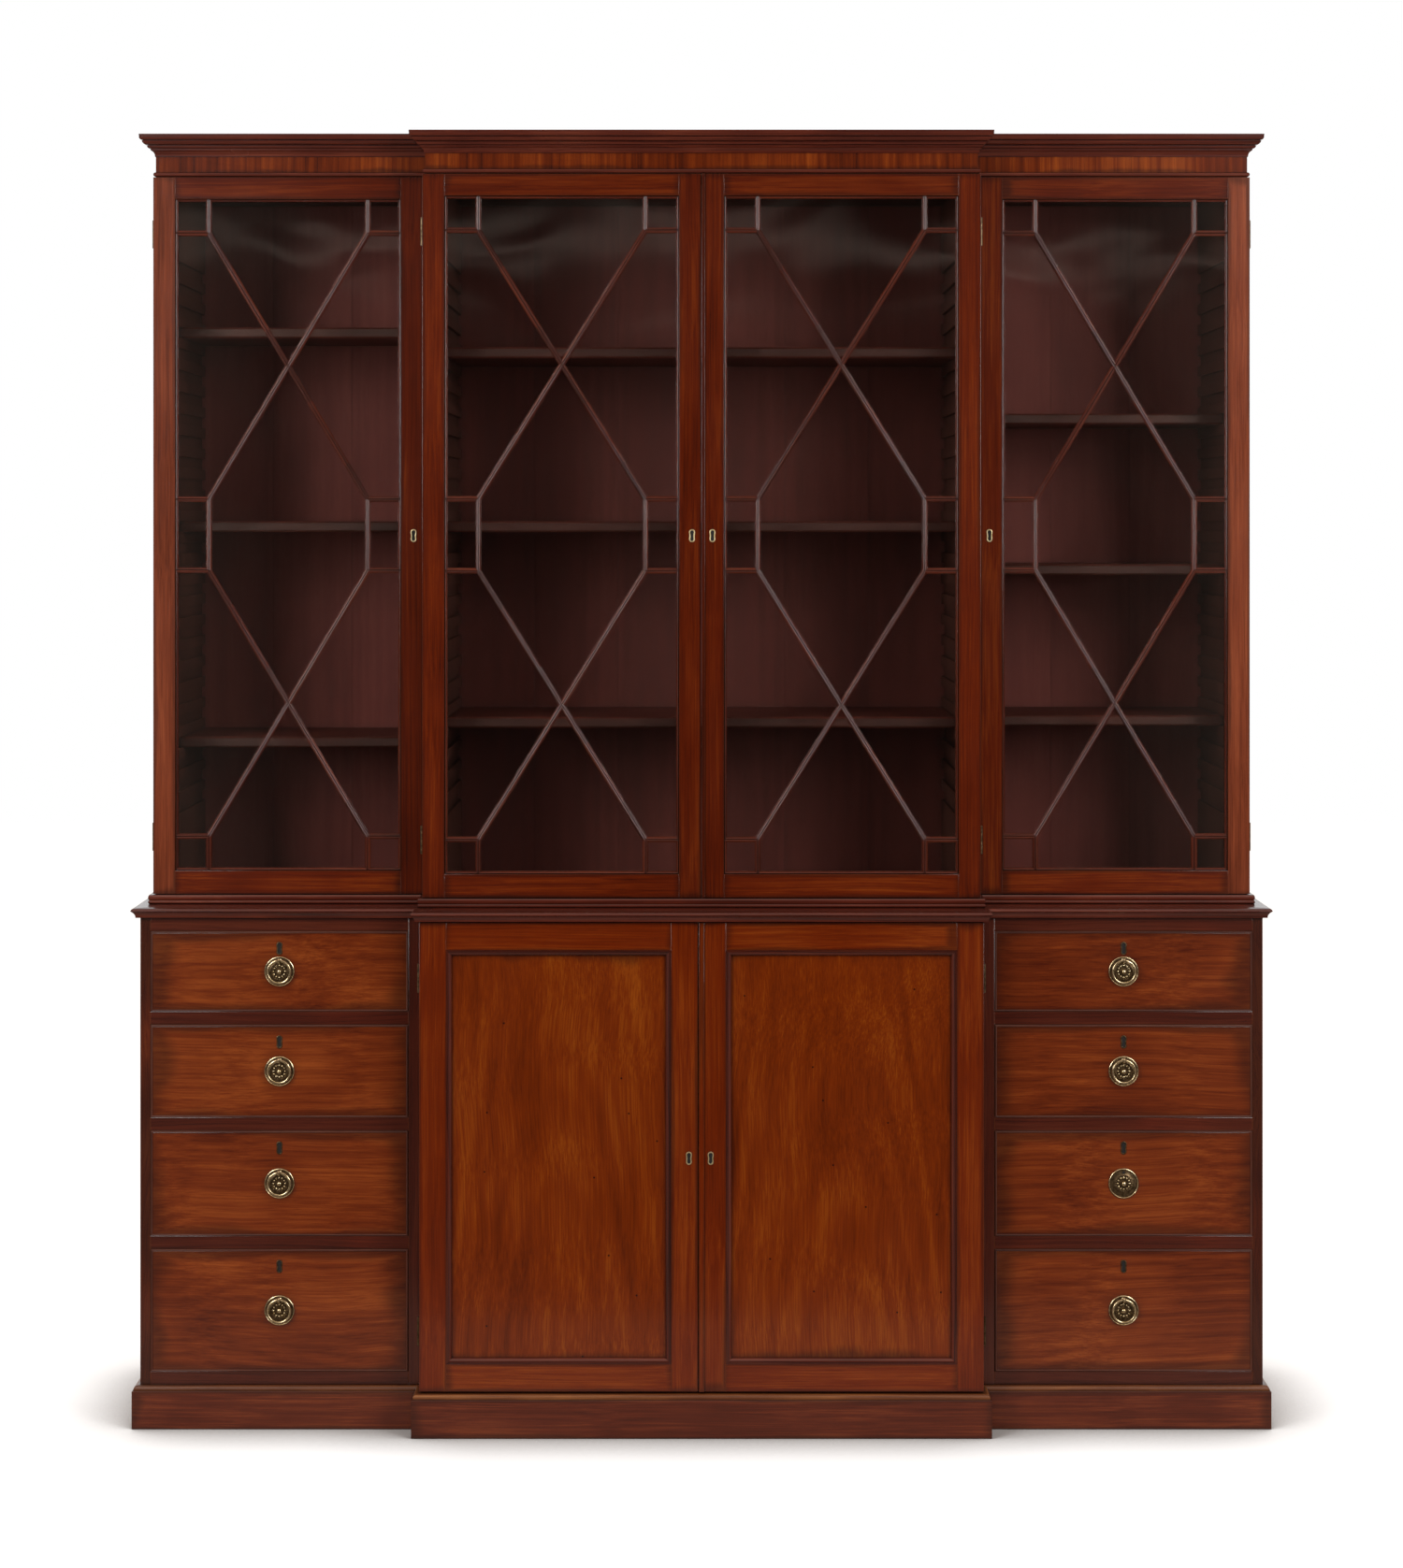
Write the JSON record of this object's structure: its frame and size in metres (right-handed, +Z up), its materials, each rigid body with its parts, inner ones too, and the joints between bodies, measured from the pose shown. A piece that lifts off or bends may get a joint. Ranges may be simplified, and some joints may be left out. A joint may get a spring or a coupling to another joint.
{
  "type": "breakfront bookcase",
  "caption": "Mahogany breakfront bookcase: a stepped case with glazed doors and shelves above, drawers and a cupboard below, under a reeded cornice.",
  "frame": {"origin": "on the floor, under the middle of the case in plan", "axes": "+X to the right as one faces the doors, +Y to the back, +Z up"},
  "size_m": [2.01, 0.482, 2.288],
  "materials": {
    "mahogany_case": "waxed",
    "mahogany_doors": "french polished",
    "mahogany_figured": "french polished",
    "mahogany_mouldings": "french polished",
    "mahogany_backs": "stained",
    "pine_backs": "unfinished",
    "window_glass": "old clear sheet",
    "brass": "worn lacquer"
  },
  "bodies": {
    "case": {"plinth": "mahogany_mouldings", "base_carcass": "mahogany_case", "drawer_dividers": "mahogany_case", "base_backboards": "pine_backs", "base_top": "mahogany_mouldings", "upper_carcass": "mahogany_case", "upper_backboards": "mahogany_backs", "frieze": "mahogany_mouldings", "cornice": "mahogany_mouldings", "shelves_left": "mahogany_case", "shelves_centre": "mahogany_case", "shelves_right": "mahogany_case", "fixed_hinge_leaves": "brass"},
    "left_wing_door": {"left_wing_door_frame": "mahogany_doors", "left_wing_door_glazing_bars": "mahogany_doors", "left_wing_door_glass": "window_glass", "left_wing_door_fittings": "brass"},
    "centre_left_door": {"centre_left_door_frame": "mahogany_doors", "centre_left_door_glazing_bars": "mahogany_doors", "centre_left_door_glass": "window_glass", "centre_left_door_fittings": "brass"},
    "centre_right_door": {"centre_right_door_frame": "mahogany_doors", "centre_right_door_glazing_bars": "mahogany_doors", "centre_right_door_glass": "window_glass", "centre_right_door_fittings": "brass"},
    "right_wing_door": {"right_wing_door_frame": "mahogany_doors", "right_wing_door_glazing_bars": "mahogany_doors", "right_wing_door_glass": "window_glass", "right_wing_door_fittings": "brass"},
    "cupboard_left_door": {"cupboard_left_door_frame": "mahogany_doors", "cupboard_left_door_panel": "mahogany_figured", "cupboard_left_door_moulding": "mahogany_mouldings", "cupboard_left_door_fittings": "brass"},
    "cupboard_right_door": {"cupboard_right_door_frame": "mahogany_doors", "cupboard_right_door_panel": "mahogany_figured", "cupboard_right_door_moulding": "mahogany_mouldings", "cupboard_right_door_fittings": "brass"},
    "left_drawer_1": {"left_drawer_1": "mahogany_figured", "left_drawer_1_pull": "brass"},
    "left_drawer_1_ring": {"left_drawer_1_ring": "brass"},
    "left_drawer_2": {"left_drawer_2": "mahogany_figured", "left_drawer_2_pull": "brass"},
    "left_drawer_2_ring": {"left_drawer_2_ring": "brass"},
    "left_drawer_3": {"left_drawer_3": "mahogany_figured", "left_drawer_3_pull": "brass"},
    "left_drawer_3_ring": {"left_drawer_3_ring": "brass"},
    "left_drawer_4": {"left_drawer_4": "mahogany_figured", "left_drawer_4_pull": "brass"},
    "left_drawer_4_ring": {"left_drawer_4_ring": "brass"},
    "right_drawer_1": {"right_drawer_1": "mahogany_figured", "right_drawer_1_pull": "brass"},
    "right_drawer_1_ring": {"right_drawer_1_ring": "brass"},
    "right_drawer_2": {"right_drawer_2": "mahogany_figured", "right_drawer_2_pull": "brass"},
    "right_drawer_2_ring": {"right_drawer_2_ring": "brass"},
    "right_drawer_3": {"right_drawer_3": "mahogany_figured", "right_drawer_3_pull": "brass"},
    "right_drawer_4": {"right_drawer_4": "mahogany_figured", "right_drawer_4_pull": "brass"},
    "right_drawer_4_ring": {"right_drawer_4_ring": "brass"}
  },
  "joints": [
    {"name": "left_wing_door_hinge", "type": "hinge", "parent": "case", "child": "left_wing_door", "pos_m": [-0.9808, -0.0847, 1.5735], "axis": [0, 0, -1], "range_deg": [0, 110]},
    {"name": "centre_left_door_hinge", "type": "hinge", "parent": "case", "child": "centre_left_door", "pos_m": [-0.4958, -0.1417, 1.5735], "axis": [0, 0, -1], "range_deg": [0, 110]},
    {"name": "centre_right_door_hinge", "type": "hinge", "parent": "case", "child": "centre_right_door", "pos_m": [0.4958, -0.1417, 1.5735], "axis": [0, 0, 1], "range_deg": [0, 110]},
    {"name": "right_wing_door_hinge", "type": "hinge", "parent": "case", "child": "right_wing_door", "pos_m": [0.9808, -0.0847, 1.5735], "axis": [0, 0, 1], "range_deg": [0, 110]},
    {"name": "cupboard_left_door_hinge", "type": "hinge", "parent": "case", "child": "cupboard_left_door", "pos_m": [-0.4958, -0.2057, 0.4885], "axis": [0, 0, -1], "range_deg": [0, 90]},
    {"name": "cupboard_right_door_hinge", "type": "hinge", "parent": "case", "child": "cupboard_right_door", "pos_m": [0.4958, -0.2057, 0.4885], "axis": [0, 0, 1], "range_deg": [0, 90]},
    {"name": "left_drawer_1_slide", "type": "slide", "parent": "case", "child": "left_drawer_1", "axis": [0, -1, 0], "range_m": [0, 0.32]},
    {"name": "left_drawer_1_ring_swing", "type": "hinge", "parent": "left_drawer_1", "child": "left_drawer_1_ring", "pos_m": [-0.7445, -0.1776, 0.82457], "axis": [-1, 0, 0], "range_deg": [0, 95]},
    {"name": "left_drawer_2_slide", "type": "slide", "parent": "case", "child": "left_drawer_2", "axis": [0, -1, 0], "range_m": [0, 0.32]},
    {"name": "left_drawer_2_ring_swing", "type": "hinge", "parent": "left_drawer_2", "child": "left_drawer_2_ring", "pos_m": [-0.7445, -0.1776, 0.64858], "axis": [-1, 0, 0], "range_deg": [0, 95]},
    {"name": "left_drawer_3_slide", "type": "slide", "parent": "case", "child": "left_drawer_3", "axis": [0, -1, 0], "range_m": [0, 0.32]},
    {"name": "left_drawer_3_ring_swing", "type": "hinge", "parent": "left_drawer_3", "child": "left_drawer_3_ring", "pos_m": [-0.7445, -0.1776, 0.45058], "axis": [-1, 0, 0], "range_deg": [0, 95]},
    {"name": "left_drawer_4_slide", "type": "slide", "parent": "case", "child": "left_drawer_4", "axis": [0, -1, 0], "range_m": [0, 0.32]},
    {"name": "left_drawer_4_ring_swing", "type": "hinge", "parent": "left_drawer_4", "child": "left_drawer_4_ring", "pos_m": [-0.7445, -0.1776, 0.22657], "axis": [-1, 0, 0], "range_deg": [0, 95]},
    {"name": "right_drawer_1_slide", "type": "slide", "parent": "case", "child": "right_drawer_1", "axis": [0, -1, 0], "range_m": [0, 0.32]},
    {"name": "right_drawer_1_ring_swing", "type": "hinge", "parent": "right_drawer_1", "child": "right_drawer_1_ring", "pos_m": [0.7445, -0.1776, 0.82457], "axis": [-1, 0, 0], "range_deg": [0, 95]},
    {"name": "right_drawer_2_slide", "type": "slide", "parent": "case", "child": "right_drawer_2", "axis": [0, -1, 0], "range_m": [0, 0.32]},
    {"name": "right_drawer_2_ring_swing", "type": "hinge", "parent": "right_drawer_2", "child": "right_drawer_2_ring", "pos_m": [0.7445, -0.1776, 0.64858], "axis": [-1, 0, 0], "range_deg": [0, 95]},
    {"name": "right_drawer_3_slide", "type": "slide", "parent": "case", "child": "right_drawer_3", "axis": [0, -1, 0], "range_m": [0, 0.32]},
    {"name": "right_drawer_4_slide", "type": "slide", "parent": "case", "child": "right_drawer_4", "axis": [0, -1, 0], "range_m": [0, 0.32]},
    {"name": "right_drawer_4_ring_swing", "type": "hinge", "parent": "right_drawer_4", "child": "right_drawer_4_ring", "pos_m": [0.7445, -0.1776, 0.22657], "axis": [-1, 0, 0], "range_deg": [0, 95]}
  ]
}
